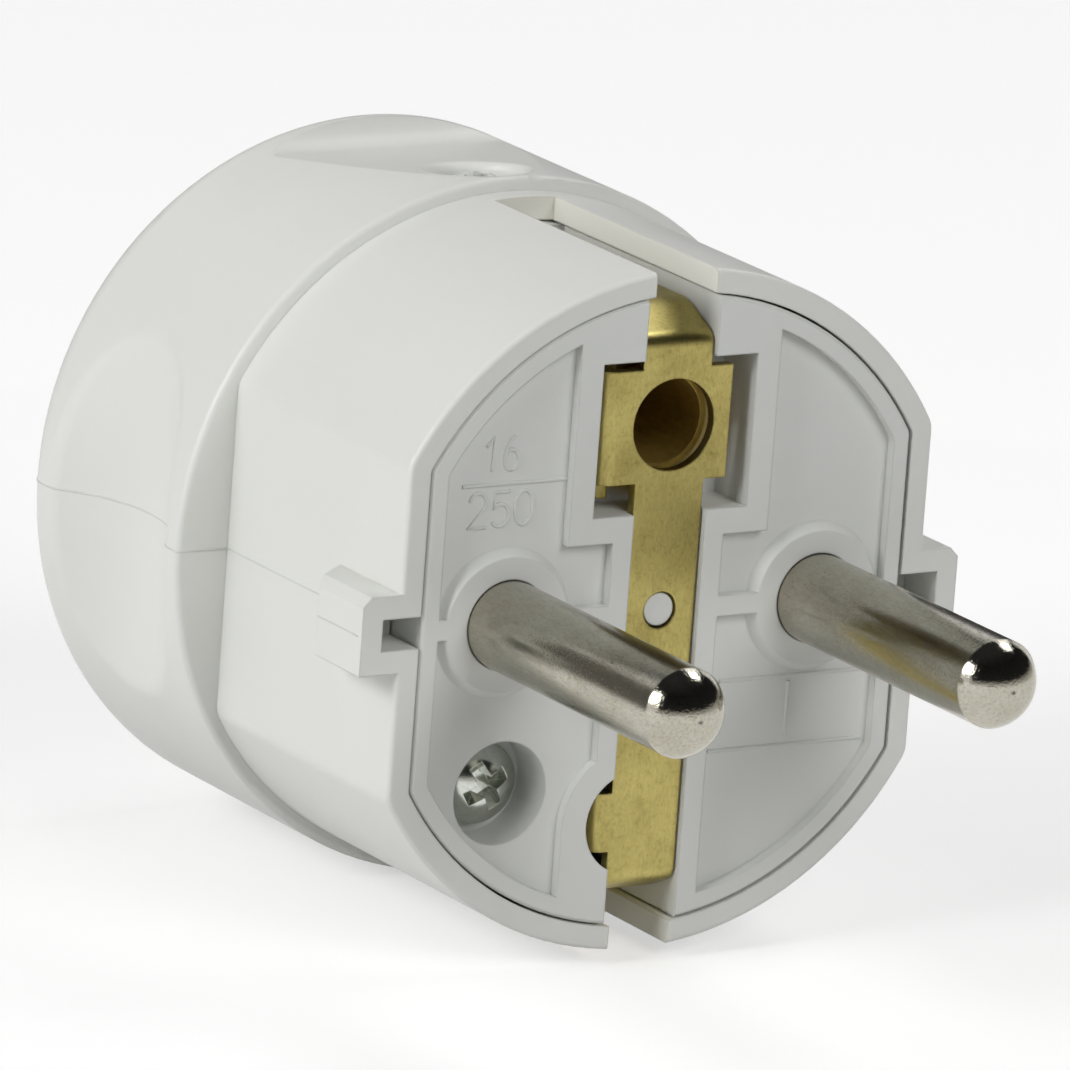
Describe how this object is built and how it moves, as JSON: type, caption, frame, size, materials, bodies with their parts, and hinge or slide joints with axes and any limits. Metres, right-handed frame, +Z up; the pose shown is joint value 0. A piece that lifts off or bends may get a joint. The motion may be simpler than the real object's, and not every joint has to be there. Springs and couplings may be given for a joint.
{
  "type": "type f plug",
  "caption": "Rewirable earthed mains plug: round grip with thumb hollows, flat-sided front with ribbed contact insert, twin domed pins and side earth clips.",
  "frame": {"origin": "centre of the front rim plane, midway between the line pins", "axes": "-Y along the pins, out of the front face; +Y back through the grip to the cord entry; +Z up towards the earth socket; +X to the right seen from the front"},
  "size_m": [0.0384, 0.0532, 0.0382],
  "materials": {
    "housing_plastic": "fine moulded satin",
    "carrier_plastic": "fine moulded satin",
    "nickel": "nickel plate on brass, satin",
    "brass": "rolled sheet",
    "zinc_steel": "zinc plated"
  },
  "bodies": {
    "root": {"housing": "housing_plastic", "contact_carrier": "carrier_plastic", "line_pin_left": "nickel", "line_pin_right": "nickel", "terminal_screw_left": "zinc_steel", "terminal_screw_right": "zinc_steel", "earth_strap": "brass", "earth_sleeve": "brass", "earth_clamp_washer": "brass", "earth_terminal_screw": "zinc_steel", "carrier_screw": "zinc_steel", "cord_clamp_screw": "zinc_steel", "cord_clamp_saddle": "carrier_plastic"}
  },
  "joints": []
}
